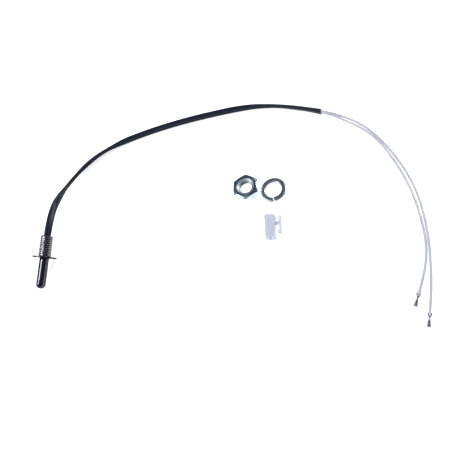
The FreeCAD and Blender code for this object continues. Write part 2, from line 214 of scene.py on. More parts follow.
def skin(bm, rings, looped=False, material=0):
    """Faces between closed rings of points, and over the first and last unless the rings themselves form a loop."""
    uv = bm.loops.layers.uv.verify()
    rows = [[bm.verts.new(p) for p in ring] for ring in rings]
    count = len(rings[0])
    middles = [sum(ring, Vector()) / count for ring in rings]
    along = [100 * s for s in lengths_along(middles)]
    pairs = list(zip(range(len(rows) - 1), range(1, len(rows))))
    if looped:
        pairs.append((len(rows) - 1, 0))
    for a, b in pairs:
        for j in range(count):
            k = (j + 1) % count
            face = bm.faces.new((rows[a][j], rows[a][k], rows[b][k], rows[b][j]))
            face.material_index = material
            for loop, u, v in zip(face.loops, (j, j + 1, j + 1, j), (along[a], along[a], along[b], along[b])):
                loop[uv].uv = (u / count, v)
    if not looped:
        for ring in (rows[0], rows[-1]):
            bm.faces.new(ring).material_index = material


def piece(name, bm, finishes, crease=35.0, at=None):
    """A finished piece from a bmesh: closed, facing outwards, smooth but for its creases."""
    bmesh.ops.remove_doubles(bm, verts=bm.verts, dist=2e-7)
    bmesh.ops.dissolve_degenerate(bm, edges=bm.edges, dist=2e-7)
    if at is not None:
        bmesh.ops.transform(bm, matrix=at, verts=bm.verts)
    bmesh.ops.recalc_face_normals(bm, faces=bm.faces)
    mesh = bpy.data.meshes.new(name)
    bm.to_mesh(mesh)
    bm.free()
    for finish in finishes:
        mesh.materials.append(finish)
    mesh.polygons.foreach_set("use_smooth", [True] * len(mesh.polygons))
    mesh.set_sharp_from_angle(angle=math.radians(crease))
    return place(bpy.data.objects.new(name, mesh))


def new_group(name, inputs, outputs):
    group = bpy.data.node_groups.new(name, "ShaderNodeTree")
    for direction, sockets in (("INPUT", inputs), ("OUTPUT", outputs)):
        for label, kind in sockets:
            group.interface.new_socket(label, in_out=direction, socket_type="NodeSocket" + kind)
    return group, group.nodes.new("NodeGroupInput"), group.nodes.new("NodeGroupOutput")


def wire(tree, *pairs):
    for source, target in pairs:
        tree.links.new(source, target)


# Soft clouds of tone: where a finish is a little brighter, duller, thicker or more handled.
cloud_group, given, result = new_group(
    "soft_clouds",
    [
        ("Vector", "Vector"), ("Bright", "Color"), ("Dull", "Color"),
        ("Scale", "Float"), ("Rough Low", "Float"), ("Rough High", "Float"),
    ],
    [("Color", "Color"), ("Roughness", "Float")],
)
cloud = cloud_group.nodes.new("ShaderNodeTexNoise")
cloud.inputs["Detail"].default_value = 5.0
spread = cloud_group.nodes.new("ShaderNodeMapRange")
spread.inputs["From Min"].default_value, spread.inputs["From Max"].default_value = 0.36, 0.64
tone = cloud_group.nodes.new("ShaderNodeMix")
tone.data_type = "RGBA"
gloss = cloud_group.nodes.new("ShaderNodeMapRange")
wire(
    cloud_group,
    (given.outputs["Vector"], cloud.inputs["Vector"]),
    (given.outputs["Scale"], cloud.inputs["Scale"]),
    (cloud.outputs["Fac"], spread.inputs["Value"]),
    (spread.outputs["Result"], tone.inputs["Factor"]),
    (given.outputs["Dull"], tone.inputs["A"]),
    (given.outputs["Bright"], tone.inputs["B"]),
    (spread.outputs["Result"], gloss.inputs["Value"]),
    (given.outputs["Rough High"], gloss.inputs["To Min"]),
    (given.outputs["Rough Low"], gloss.inputs["To Max"]),
    (tone.outputs["Result"], result.inputs["Color"]),
    (gloss.outputs["Result"], result.inputs["Roughness"]),
)

# Fine relief: the grain, die lines or moulding texture of a surface, with a few longer scratches or streaks in it.
relief_group, given, result = new_group(
    "fine_relief",
    [
        ("Vector", "Vector"), ("Scale", "Float"), ("Height", "Float"),
        ("Streak Vector", "Vector"), ("Streak Share", "Float"),
    ],
    [("Normal", "Vector")],
)
grain = relief_group.nodes.new("ShaderNodeTexNoise")
grain.inputs["Detail"].default_value = 3.0
streak = relief_group.nodes.new("ShaderNodeTexNoise")
streak.inputs["Detail"].default_value = 2.0
mixed = relief_group.nodes.new("ShaderNodeMix")
bump = relief_group.nodes.new("ShaderNodeBump")
wire(
    relief_group,
    (given.outputs["Vector"], grain.inputs["Vector"]),
    (given.outputs["Scale"], grain.inputs["Scale"]),
    (given.outputs["Streak Vector"], streak.inputs["Vector"]),
    (given.outputs["Scale"], streak.inputs["Scale"]),
    (given.outputs["Streak Share"], mixed.inputs["Factor"]),
    (grain.outputs["Fac"], mixed.inputs["A"]),
    (streak.outputs["Fac"], mixed.inputs["B"]),
    (mixed.outputs["Result"], bump.inputs["Height"]),
    (given.outputs["Height"], bump.inputs["Distance"]),
    (bump.outputs["Normal"], result.inputs["Normal"]),
)


def surface(
    name, bright, dull, clouds, rough, grain, height, streak=(1, 1, 1), share=0.0, coords="Object", **constants
):
    """A finish with clouds of tone and fine relief. Sizes are given as texture scale and height in metres."""
    made, nodes, links, shader = principled(name)
    where = nodes.new("ShaderNodeTexCoord")
    stretched = nodes.new("ShaderNodeMapping")
    stretched.inputs["Scale"].default_value = streak
    tones = nodes.new("ShaderNodeGroup")
    tones.node_tree = cloud_group
    tones.inputs["Bright"].default_value = (*bright, 1)
    tones.inputs["Dull"].default_value = (*dull, 1)
    tones.inputs["Scale"].default_value = clouds
    tones.inputs["Rough Low"].default_value, tones.inputs["Rough High"].default_value = rough
    relief = nodes.new("ShaderNodeGroup")
    relief.node_tree = relief_group
    relief.inputs["Scale"].default_value = grain
    relief.inputs["Height"].default_value = height
    relief.inputs["Streak Share"].default_value = share
    wire(
        made.node_tree,
        (where.outputs[coords], stretched.inputs["Vector"]),
        (where.outputs[coords], tones.inputs["Vector"]),
        (where.outputs[coords], relief.inputs["Vector"]),
        (stretched.outputs["Vector"], relief.inputs["Streak Vector"]),
        (tones.outputs["Color"], shader.inputs["Base Color"]),
        (tones.outputs["Roughness"], shader.inputs["Roughness"]),
        (relief.outputs["Normal"], shader.inputs["Normal"]),
    )
    for label, value in constants.items():
        shader.inputs[label.replace("_", " ")].default_value = value
    return made


sleeve_points = [
    station(0.0110),
    station(0.0220),
    above_table(0.0042, 0.0378, 0.0122),
    above_table(0.0073, 0.0515, 0.0080),
    above_table(0.0131, 0.0634, 0.0052),
    above_table(0.0213, 0.0746, 0.0038),
    above_table(0.0323, 0.0838, 0.0032),
    above_table(0.0472, 0.0911, 0.0026),
    above_table(0.0645, 0.0968, 0.0016),
    above_table(0.0830, 0.1008, 0.0016),
    above_table(0.1020, 0.1038, 0.0016),
    above_table(0.1215, 0.1058, 0.0016),
    above_table(0.1395, 0.1070, 0.0018),
    above_table(0.1555, 0.1067, 0.0022),
    above_table(0.1710, 0.1041, 0.0026),
    above_table(0.1844, 0.1001, 0.0027),
    above_table(0.1969, 0.0959, 0.0027),
    above_table(0.20405, 0.09295, 0.0026),
]
sleeve_half_width, sleeve_half_height, sleeve_wall = 0.00255, 0.00145, 0.00022
sleeve_line = smooth_line("sleeve_route", sleeve_points, 20)
sleeve_run = lengths_along(sleeve_line)

# How far the flat sleeve is turned, in degrees, at lengths in metres from where it starts in the stud.
sleeve_turns = [
    (0.000, -33), (0.022, -33), (0.052, -128), (0.073, -152), (0.089, -136), (0.108, -180),
    (0.187, -180), (0.248, -106), (0.276, -60),
]


def sleeve_turn(length):
    for (start, low), (end, high) in zip(sleeve_turns, sleeve_turns[1:]):
        if length <= end:
            share = (length - start) / (end - start)
            return math.radians(low + (high - low) * share * share * (3 - 2 * share))
    return math.radians(sleeve_turns[-1][1])


sleeve_sides, sleeve_ups = [], []
for length, (sideways, upward) in zip(sleeve_run, frames_along(sleeve_line)):
    angle = sleeve_turn(length)
    sleeve_sides.append(sideways * math.cos(angle) + upward * math.sin(angle))
    sleeve_ups.append(upward * math.cos(angle) - sideways * math.sin(angle))


def flat_oval(half_width, half_height, count=36, power=2.5):
    """Points round a flattened tube's section."""
    for k in range(count):
        c, s = math.cos(2 * math.pi * k / count), math.sin(2 * math.pi * k / count)
        yield (
            half_width * math.copysign(abs(c) ** (2 / power), c),
            half_height * math.copysign(abs(s) ** (2 / power), s),
        )


def sleeve_rings(inset):
    return [
        [centre + side * w + up * h for w, h in flat_oval(sleeve_half_width - inset, sleeve_half_height - inset)]
        for centre, side, up in zip(sleeve_line, sleeve_sides, sleeve_ups)
    ]


black_sleeving = surface(
    "black_sleeving", (0.013, 0.020, 0.037), (0.009, 0.014, 0.027), 3.0, (0.36, 0.46), 7.0, 0.00001,
    streak=(9, 0.15, 1), share=0.7, coords="UV", Specular_IOR_Level=0.22,
)
bm = bmesh.new()
skin(bm, sleeve_rings(0.0) + sleeve_rings(sleeve_wall)[::-1], looped=True)
sleeve = piece("flat_sleeving", bm, [black_sleeving], crease=60)
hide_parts("cable_sleeve")
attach(sleeve, "probe_and_cable")

# ---------------------------------------------------------------- leads
# Two single leads in clear silicone-like insulation over a tinned, twisted conductor. They run side by side in the
# sleeve, stay touching for a hand's width past it, then part; each conductor is bared for its splice and its contact.

lead_radius, lead_bore, conductor_radius, lead_side = 0.00086, 0.00037, 0.00035, 0.00088
bared_at_splice, bared_at_contact = 0.0041, 0.0025
sleeve_route = [station(0.0034), station(0.0220)] + sleeve_points[2:-1] + [above_table(0.2112, 0.0900, 0.0020)]
lead_routes = {
    "inner": [
        above_table(0.2237, 0.0815, 0.0011), above_table(0.2345, 0.0726, 0.0009),
        above_table(0.2434, 0.0604, 0.0009), above_table(0.2500, 0.0463, 0.0009),
        above_table(0.2556, 0.0316, 0.0009), above_table(0.2591, 0.0175, 0.0009),
        above_table(0.2611, 0.0035, 0.0009), above_table(0.2621, -0.0093, 0.0009),
        above_table(0.2611, -0.0224, 0.0009), above_table(0.2572, -0.0360, 0.0011),
        above_table(0.2523, -0.0486, 0.0011),
    ],
    "outer": [
        above_table(0.2252, 0.0836, 0.0011), above_table(0.2359, 0.0740, 0.0009),
        above_table(0.2449, 0.0614, 0.0009), above_table(0.2528, 0.0462, 0.0009),
        above_table(0.2588, 0.0310, 0.0009), above_table(0.2622, 0.0160, 0.0009),
        above_table(0.2635, 0.0015, 0.0009), above_table(0.2639, -0.0120, 0.0009),
        above_table(0.2630, -0.0255, 0.0009), above_table(0.2617, -0.0385, 0.0009),
        above_table(0.2597, -0.0508, 0.0011), above_table(0.2576, -0.0612, 0.0011),
    ],
}

clear_insulation = surface(
    "clear_insulation", (0.70, 0.71, 0.77), (0.62, 0.63, 0.70), 1.2, (0.26, 0.36), 14.0, 0.00003,
    streak=(6, 0.1, 1), share=0.6, coords="UV",
)
tinned_strands = surface(
    "tinned_strands", (0.66, 0.62, 0.58), (0.50, 0.47, 0.45), 900.0, (0.22, 0.38), 5000.0, 0.00001, Metallic=1.0,
)


def beside(points, distance):
    """Control points moved sideways by a distance, plus to the right of travel."""
    moved = []
    for i, point in enumerate(points):
        run = points[min(i + 1, len(points) - 1)] - points[max(i - 1, 0)]
        moved.append(point + run.cross(UP).normalized() * distance)
    return moved


def round_rings(line, radius, count=20, lobes=0, depth=0.0, lay_length=0.008):
    """Rings round a line. With lobes it has the outline of that many twisted strands."""
    rings = []
    for length, centre, (sideways, upward) in zip(lengths_along(line), line, frames_along(line)):
        ring = []
        for k in range(count):
            angle = 2 * math.pi * k / count
            reach = radius * (1 - depth * abs(math.sin(lobes * (angle + 2 * math.pi * length / lay_length) / 2)))
            ring.append(centre + sideways * reach * math.cos(angle) + upward * reach * math.sin(angle))
        rings.append(ring)
    return rings


def in_sleeve(point, way):
    """Where a lead lies in the turned sleeve. It fades to its own line before the sleeve starts and after it ends."""
    last = len(sleeve_line) - 1
    i = min(range(last + 1), key=lambda k: (sleeve_line[k] - point).length_squared)
    forward = (sleeve_line[min(i + 1, last)] - sleeve_line[max(i - 1, 0)]).normalized()
    beyond = (point - sleeve_line[i]).dot(forward)
    inside = sleeve_line[i] + forward * beyond + sleeve_sides[i] * lead_side * way
    left = 1.0
    if i == last:
        left = max(0.0, 1 - beyond / 0.018)
    elif i == 0:
        left = max(0.0, 1 + beyond / 0.004)
    return point.lerp(inside, left * left * (3 - 2 * left))


leads = {}
for side_name, way in (("inner", 1), ("outer", -1)):
    points = beside(sleeve_route, way * lead_side) + lead_routes[side_name]
    line = [in_sleeve(p, way) for p in smooth_line(f"lead_{side_name}_route", points, 14)]
    whole = lengths_along(line)[-1]
    insulated = trimmed(line, bared_at_splice, whole - bared_at_contact)
    rims = [round_rings(insulated, lead_bore)[i] for i in (-1, 0)]
    bm = bmesh.new()
    skin(bm, [rims[1]] + round_rings(insulated, lead_radius) + [rims[0]], looped=False)
    skin(bm, round_rings(line, conductor_radius, 28, lobes=7, depth=0.22), material=1)
    lead = piece(f"lead_{side_name}", bm, [clear_insulation, tinned_strands], crease=60)
    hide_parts(f"lead_{side_name}_insulation", f"lead_{side_name}_conductor")
    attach(lead, "probe_and_cable")
    leads[side_name] = (lead, line)

# ---------------------------------------------------------------- crimp contacts
# Each lead ends in a small receptacle stamped and rolled from tinned brass strip 0.25 mm thick: open wings grip the
# insulation, a rolled barrel grips the conductor, and a socket that widens to two spring legs takes the pin.

tinned_brass = surface(
    "tinned_brass", (0.80, 0.81, 0.85), (0.62, 0.63, 0.68), 700.0, (0.30, 0.42), 2600.0, 0.00002,
    streak=(0.2, 1, 1), share=0.4, Metallic=1.0,
)
strip_t = 0.00022
strip_half = 10


def strip_section(half_width, height, curl, floor):
    """Points across the strip, from one edge over the floor to the other: a channel whose tops curl in or splay out."""
    arc = []
    for k in range(-strip_half, strip_half + 1):
        t = k / strip_half
        s = abs(t)
        if s < 0.4:
            y, z = half_width * (s / 0.4), 0.0
        else:
            rise = (s - 0.4) / 0.6
            y = half_width * (1 - curl * rise * rise)
            z = height * math.sin(rise * math.pi / 2)
        y_round = min(y, half_width)
        arc.append((math.copysign(y if curl < 0 else y_round, t) if k else 0.0, floor + z))
    return arc


contact_sections = [
    (0.0000, strip_section(0.00094, 0.0019, -0.45, -0.00104)),
    (0.0018, strip_section(0.00094, 0.0019, -0.40, -0.00104)),
    (0.0022, strip_section(0.00070, 0.0007, 0.0, -0.00100)),
    (0.0026, strip_section(0.00066, 0.0007, 0.0, -0.00086)),
    (0.0028, strip_section(0.00070, 0.00140, 0.90, -0.00062)),
    (0.0044, strip_section(0.00070, 0.00140, 0.90, -0.00062)),
    (0.0047, strip_section(0.00066, 0.0008, 0.0, -0.00082)),
    (0.0051, strip_section(0.00074, 0.0012, 0.0, -0.00100)),
    (0.0062, strip_section(0.00122, 0.0019, 0.45, -0.00104)),
    (0.0076, strip_section(0.00136, 0.0020, 0.60, -0.00104)),
    (0.0093, strip_section(0.00140, 0.0019, 0.25, -0.00104)),
]
contact_rows, slot_from, slot_half, overlap_on_lead = 62, 0.0082, 2.6, 0.0046
for side_name, (lead, line) in leads.items():
    points = lead_routes[side_name]
    forward = (points[-1] - points[-2]).normalized()
    start = points[-1] - forward * overlap_on_lead
    seat = Matrix((forward, UP.cross(forward), UP)).transposed().to_4x4()
    bm = bmesh.new()
    rows = []
    for r in range(contact_rows + 1):
        x = contact_sections[-1][0] * r / contact_rows
        (low_x, low), (high_x, high) = next(
            (a, b) for a, b in zip(contact_sections, contact_sections[1:]) if x <= b[0] + 1e-9
        )
        share = (x - low_x) / (high_x - low_x)
        share = share * share * (3 - 2 * share)
        across_strip = [(a[0] + (b[0] - a[0]) * share, a[1] + (b[1] - a[1]) * share) for a, b in zip(low, high)]
        rows.append([bm.verts.new((x, y, z)) for y, z in across_strip])
    for r in range(contact_rows):
        x = contact_sections[-1][0] * r / contact_rows
        for k in range(2 * strip_half):
            middle = abs(k + 0.5 - strip_half)
            if x >= slot_from and middle < slot_half:
                continue
            bm.faces.new((rows[r][k], rows[r + 1][k], rows[r + 1][k + 1], rows[r][k + 1]))
    bm.verts.index_update()
    bmesh.ops.delete(bm, geom=[v for v in bm.verts if not v.link_faces], context="VERTS")
    flat = bpy.data.meshes.new("contact_strip")
    bm.to_mesh(flat)
    bm.free()
    holder = place(bpy.data.objects.new("contact_strip", flat))
    thick = holder.modifiers.new("strip", "SOLIDIFY")
    thick.thickness, thick.offset = strip_t, 0.0
    thick.use_even_offset = True
    solid = bpy.data.meshes.new_from_object(holder.evaluated_get(bpy.context.evaluated_depsgraph_get()))
    bpy.data.objects.remove(holder)
    bm = bmesh.new()
    bm.from_mesh(solid)
    contact = piece(f"crimp_{side_name}", bm, [tinned_brass], crease=40, at=Matrix.Translation(start) @ seat)
    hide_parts(f"contact_{side_name}")
    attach(contact, "probe_and_cable")

# ---------------------------------------------------------------- bulb
# The sensing end: a deep-drawn stainless tube 6.5 mm across with a round closed end, polished bright.
# Its open end is necked down and brazed in the fitting.

flange_t, bulb_l, bulb_r, bulb_edge = 0.0012, 0.0220, 0.00325, 0.00012
sheath_wall, neck_r, neck_top, shoulder = 0.0004, 0.0029, 0.0050, 0.0006
ball = -(flange_t + bulb_l - bulb_r)


def turned_rings(profile, count):
    """Rings round the local Z axis from (radius, height) points."""
    turns = [2 * math.pi * k / count for k in range(count)]
    return [[Vector((r * math.cos(turn_by), r * math.sin(turn_by), z)) for turn_by in turns] for r, z in profile]


def dome(radius, steps):
    """From the tube's wall round its closed end to a point on the axis."""
    return [
        (radius * math.cos(math.pi / 2 * k / steps), ball - radius * math.sin(math.pi / 2 * k / steps))
        for k in range(1, steps + 1)
    ]


def colour_over(material, colour, share):
    """Covers a finish's base colour with another, as far as the share, a socket of the same material, says."""
    tree = material.node_tree
    base = tree.nodes["Principled BSDF"].inputs["Base Color"]
    cover = tree.nodes.new("ShaderNodeMix")
    cover.data_type = "RGBA"
    cover.inputs["B"].default_value = (*colour, 1)
    wire(
        tree,
        (share, cover.inputs["Factor"]),
        (base.links[0].from_socket, cover.inputs["A"]),
        (cover.outputs["Result"], base),
    )


def ramp(material, value, start, end, low, high):
    """A share that goes from low to high as the value goes from start to end."""
    node = material.node_tree.nodes.new("ShaderNodeMapRange")
    node.inputs["From Min"].default_value, node.inputs["From Max"].default_value = start, end
    node.inputs["To Min"].default_value, node.inputs["To Max"].default_value = low, high
    wire(material.node_tree, (value, node.inputs["Value"]))
    return node.outputs["Result"]


# Painted reflection: the polished steel gets a near black base colour, so that its reflections come out dark as if
# mirroring a dark room.
polished_sheath = surface(
    "polished_sheath", (0.086, 0.088, 0.100), (0.066, 0.068, 0.078), 260.0, (0.05, 0.11), 900.0, 0.0000016,
    streak=(1, 1, 14), share=0.8, Metallic=0.85, Specular_Tint=(0.34, 0.36, 0.46, 1.0),
)
inner_r = bulb_r - sheath_wall
tube_wall = [(bulb_r, -flange_t - bulb_edge - (bulb_l - 2 * bulb_r) * k / 12) for k in range(13)]
neck = [(neck_r, neck_top), (neck_r, -flange_t), (bulb_r - bulb_edge, -flange_t - 0.00001)]
outside = neck + tube_wall + dome(bulb_r, 20)
inside = [
    (inner_r, ball), (inner_r, -flange_t - shoulder),
    (neck_r - sheath_wall, -flange_t - shoulder), (neck_r - sheath_wall, neck_top),
]
bm = bmesh.new()
skin(bm, turned_rings(outside + dome(inner_r, 12)[::-1] + inside, 96), looped=True)
# Painted reflection: the bulb's colour is painted darker still towards its edges, where it turns away from the view.
facing = polished_sheath.node_tree.nodes.new("ShaderNodeLayerWeight")
facing.inputs["Blend"].default_value = 0.5
edge = ramp(polished_sheath, facing.outputs["Facing"], 0.22, 0.50, 0.0, 0.80)
colour_over(polished_sheath, (0.010, 0.011, 0.020), edge)
bulb = piece("polished_bulb", bm, [polished_sheath], crease=50, at=on_probe)
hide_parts("probe_sheath")
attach(bulb, "probe_and_cable")

# ---------------------------------------------------------------- threaded fitting
# Turned brass fitting, nickel plated: a thin round flange and a stud with a rolled M10 x 1.5 thread, in one piece.
# The thread is a helix grown by a node tree, so that its crests run true round the stud and run out at both ends.

thread_tree = bpy.data.node_groups.new("screw_thread", "GeometryNodeTree")
thread_tree.interface.new_socket("Geometry", in_out="INPUT", socket_type="NodeSocketGeometry")
thread_sockets = {}
for label, kind in (
    ("Pitch", "Float"), ("Length", "Float"), ("Crest Radius", "Float"), ("Root Radius", "Float"),
    ("End Radius", "Float"), ("End Slope", "Float"), ("Outside", "Float"), ("Rows", "Int"), ("Columns", "Int"),
    ("Finish", "Material"),
):
    socket = thread_tree.interface.new_socket(label, in_out="INPUT", socket_type="NodeSocket" + kind)
    thread_sockets[label] = socket.identifier
thread_tree.interface.new_socket("Geometry", in_out="OUTPUT", socket_type="NodeSocketGeometry")
given = thread_tree.nodes.new("NodeGroupInput")
result = thread_tree.nodes.new("NodeGroupOutput")


def reckon(operation, *values):
    """A math node of the thread's tree, fed with sockets or plain numbers."""
    node = thread_tree.nodes.new("ShaderNodeMath")
    node.operation = operation
    for socket, value in zip(node.inputs, values):
        if isinstance(value, (int, float)):
            socket.default_value = value
        else:
            thread_tree.links.new(value, socket)
    return node.outputs["Value"]


sheet_of_points = thread_tree.nodes.new("GeometryNodeMeshGrid")
sheet_of_points.inputs["Size X"].default_value = 1.0
sheet_of_points.inputs["Size Y"].default_value = 1.0
wire(
    thread_tree,
    (reckon("ADD", given.outputs["Columns"], 1), sheet_of_points.inputs["Vertices X"]),
    (reckon("ADD", given.outputs["Rows"], 1), sheet_of_points.inputs["Vertices Y"]),
)
at = thread_tree.nodes.new("GeometryNodeInputPosition")
parted = thread_tree.nodes.new("ShaderNodeSeparateXYZ")
wire(thread_tree, (at.outputs["Position"], parted.inputs["Vector"]))
pitch, length = given.outputs["Pitch"], given.outputs["Length"]
round_share = reckon("ADD", parted.outputs["X"], 0.5)
risen = reckon("MULTIPLY", reckon("ADD", parted.outputs["Y"], 0.5), reckon("ADD", length, pitch))
raw_height = reckon("ADD", risen, reckon("MULTIPLY", reckon("SUBTRACT", round_share, 1.0), pitch))
height = reckon("MAXIMUM", reckon("MINIMUM", raw_height, length), 0.0)
phase = reckon("FRACT", reckon("ADD", reckon("DIVIDE", risen, pitch), 0.0005))
ridge = reckon("ABSOLUTE", reckon("SUBTRACT", reckon("MULTIPLY", phase, 2.0), 1.0))
flank = reckon("MINIMUM", reckon("MAXIMUM", reckon("DIVIDE", reckon("SUBTRACT", ridge, 0.25), 0.625), 0.0), 1.0)
crest, root = given.outputs["Crest Radius"], given.outputs["Root Radius"]
thread_r = reckon("ADD", root, reckon("MULTIPLY", flank, reckon("SUBTRACT", crest, root)))
out_sign = given.outputs["Outside"]
end_r = reckon("MULTIPLY", out_sign, given.outputs["End Radius"])
low_limit = reckon("ADD", end_r, reckon("MULTIPLY", height, given.outputs["End Slope"]))
high_limit = reckon("ADD", end_r, reckon("MULTIPLY", reckon("SUBTRACT", length, height), given.outputs["End Slope"]))
limited = reckon("MINIMUM", reckon("MINIMUM", reckon("MULTIPLY", out_sign, thread_r), low_limit), high_limit)
final_r = reckon("MULTIPLY", out_sign, limited)
angle = reckon("MULTIPLY", round_share, 2 * math.pi)
joined = thread_tree.nodes.new("ShaderNodeCombineXYZ")
moved = thread_tree.nodes.new("GeometryNodeSetPosition")
merged = thread_tree.nodes.new("GeometryNodeMergeByDistance")
merged.inputs["Distance"].default_value = 0.0000005
real = thread_tree.nodes.new("GeometryNodeRealizeInstances")
painted = thread_tree.nodes.new("GeometryNodeSetMaterial")
wire(
    thread_tree,
    (reckon("MULTIPLY", final_r, reckon("COSINE", angle)), joined.inputs["X"]),
    (reckon("MULTIPLY", final_r, reckon("SINE", angle)), joined.inputs["Y"]),
    (height, joined.inputs["Z"]),
    (sheet_of_points.outputs["Mesh"], moved.inputs["Geometry"]),
    (joined.outputs["Vector"], moved.inputs["Position"]),
    (moved.outputs["Geometry"], merged.inputs["Geometry"]),
    (merged.outputs["Geometry"], real.inputs["Geometry"]),
    (real.outputs["Geometry"], painted.inputs["Geometry"]),
    (given.outputs["Finish"], painted.inputs["Material"]),
    (painted.outputs["Geometry"], result.inputs["Geometry"]),
)


def threaded(bm, finish, **sizes):
    """Adds a screw thread's surface to a bmesh, open at both ends."""
    holder = place(bpy.data.objects.new("thread_holder", bpy.data.meshes.new("thread_holder")))
    grown = holder.modifiers.new("thread", "NODES")
    grown.node_group = thread_tree
    for label, value in sizes.items():
        grown[thread_sockets[label.replace("_", " ")]] = value
    grown[thread_sockets["Finish"]] = finish
    mesh = bpy.data.meshes.new_from_object(holder.evaluated_get(bpy.context.evaluated_depsgraph_get()))
    bpy.data.objects.remove(holder)
    bm.from_mesh(mesh)
    for face in bm.faces:
        face.material_index = 0


plated_brass = surface(
    "plated_brass", (0.60, 0.61, 0.62), (0.44, 0.45, 0.46), 420.0, (0.26, 0.38), 1500.0, 0.000004,
    streak=(1, 1, 9), share=0.5, Metallic=1.0,
)
nodes = plated_brass.node_tree.nodes
where = nodes.new("ShaderNodeTexCoord")
along = nodes.new("ShaderNodeVectorMath")
along.operation = "PROJECT"
along.inputs[1].default_value = axis
off_axis = nodes.new("ShaderNodeVectorMath")
off_axis.operation = "DISTANCE"
wire(
    plated_brass.node_tree,
    (where.outputs["Object"], along.inputs[0]),
    (where.outputs["Object"], off_axis.inputs[0]),
    (along.outputs["Vector"], off_axis.inputs[1]),
)
# Painted shade: the colour is painted near black down in the thread's roots, where shade falls, and over the flange,
# standing in for the dark room it reflects.
painted_root_shade = ramp(plated_brass, off_axis.outputs["Value"], 0.00415, 0.00495, 0.80, 0.0)
painted_flange_shade = ramp(plated_brass, off_axis.outputs["Value"], 0.0054, 0.0062, 0.0, 0.93)
darker = nodes.new("ShaderNodeMath")
darker.operation = "MAXIMUM"
wire(plated_brass.node_tree, (painted_root_shade, darker.inputs[0]), (painted_flange_shade, darker.inputs[1]))
colour_over(plated_brass, (0.020, 0.021, 0.026), darker.outputs["Value"])
flange_r, stud_l, thread_root, cable_bore, columns = 0.0085, 0.0150, 0.00408, 0.0030, 144
bm = bmesh.new()
threaded(
    bm, plated_brass, Pitch=0.0015, Length=stud_l, Crest_Radius=0.0050, Root_Radius=thread_root,
    End_Radius=thread_root, End_Slope=1.0, Outside=1.0, Rows=176, Columns=columns,
)
body_profile = [
    (thread_root, 0.0), (thread_root + 0.0003, 0.0), (flange_r - 0.00025, 0.0), (flange_r - 0.00007, -0.00006),
    (flange_r, -0.00025), (flange_r, -flange_t + 0.00025), (flange_r - 0.00007, -flange_t + 0.00006),
    (flange_r - 0.00025, -flange_t), (0.0037, -flange_t), (0.0034, -flange_t), (neck_r, -flange_t), (neck_r, neck_top),
    (cable_bore, neck_top), (cable_bore, stud_l - 0.00025), (cable_bore + 0.00025, stud_l), (thread_root, stud_l),
]
skin_rings = turned_rings(body_profile, columns)
rows = [[bm.verts.new(p) for p in ring] for ring in skin_rings]
for a, b in zip(rows, rows[1:]):
    for j in range(columns):
        k = (j + 1) % columns
        bm.faces.new((a[j], a[k], b[k], b[j]))
fitting = piece("threaded_stud", bm, [plated_brass], crease=22, at=on_probe)
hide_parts("threaded_fitting")
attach(fitting, "probe_and_cable")

# ---------------------------------------------------------------- potting and the parts inside the probe
# Black resin, poured round the flat sleeve in the stud's bore, holds the cable. Below it the leads are spliced in
# copper barrels under red shrink tube to two alloy wires, which run down a ceramic rod in packed oxide to a bead.

black_resin = surface("black_resin", (0.020, 0.020, 0.024), (0.010, 0.010, 0.012), 700.0, (0.28, 0.5), 1800.0, 0.00004)
resin_low, resin_high, resin_r = 0.0114, 0.0146, 0.00299
bm = bmesh.new()
resin_count = 72
resin_rings = []
for z, share in (
    (resin_low, 0.0), (resin_high, 0.0), (resin_high - 0.00025, 0.3), (resin_high - 0.0003, 0.6),
    (resin_high - 0.0001, 1.0), (resin_low, 1.0),
):
    ring = []
    for k, (w, h) in enumerate(flat_oval(sleeve_half_width + 0.00001, sleeve_half_height + 0.00001, resin_count)):
        turn_by = 2 * math.pi * k / resin_count
        round_edge = Vector((resin_r * math.cos(turn_by), resin_r * math.sin(turn_by), z))
        ring.append(round_edge.lerp(Vector((w, h, z)), share))
    resin_rings.append(ring)
skin(bm, resin_rings, looped=True)
resin = piece("resin_plug", bm, [black_resin], crease=50, at=on_probe)
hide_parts("potting_ring")
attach(resin, "probe_and_cable")

inside_finishes = {
    "sensing_junction": surface(
        "weld_bead", (0.46, 0.44, 0.42), (0.22, 0.20, 0.24), 1800.0, (0.3, 0.55), 3500.0, 0.00006, Metallic=1.0
    ),
    "thermo_wire_positive": surface(
        "positive_alloy_wire", (0.62, 0.57, 0.48), (0.46, 0.42, 0.36), 900.0, (0.25, 0.45), 4000.0, 0.00001,
        Metallic=1.0,
    ),
    "thermo_wire_negative": surface(
        "negative_alloy_wire", (0.52, 0.53, 0.56), (0.36, 0.37, 0.40), 900.0, (0.25, 0.45), 4000.0, 0.00001,
        Metallic=1.0,
    ),
    "ceramic_insulator": surface(
        "fired_ceramic", (0.86, 0.82, 0.74), (0.76, 0.71, 0.62), 600.0, (0.45, 0.7), 2600.0, 0.00003
    ),
    "thermal_filler": surface(
        "packed_oxide", (0.82, 0.81, 0.78), (0.66, 0.65, 0.62), 1500.0, (0.8, 0.95), 6000.0, 0.0001
    ),
    "splice_barrel_inner": surface(
        "splice_copper", (0.80, 0.46, 0.30), (0.56, 0.30, 0.20), 800.0, (0.2, 0.4), 2500.0, 0.00002, Metallic=1.0
    ),
    "splice_sleeves": surface(
        "red_shrink_tube", (0.50, 0.05, 0.04), (0.34, 0.03, 0.03), 700.0, (0.35, 0.5), 2200.0, 0.00003
    ),
}
inside_finishes["splice_barrel_outer"] = inside_finishes["splice_barrel_inner"]
for node_name, finish in inside_finishes.items():
    for held in frame["nodes"][node_name].material_slots:
        held.material = finish

# ---------------------------------------------------------------- lock nut
# Cold-formed M10 hexagon nut, 17 mm across flats, blue zinc plated. Its corners are turned down on both faces and its
# thread starts in a wide countersink.

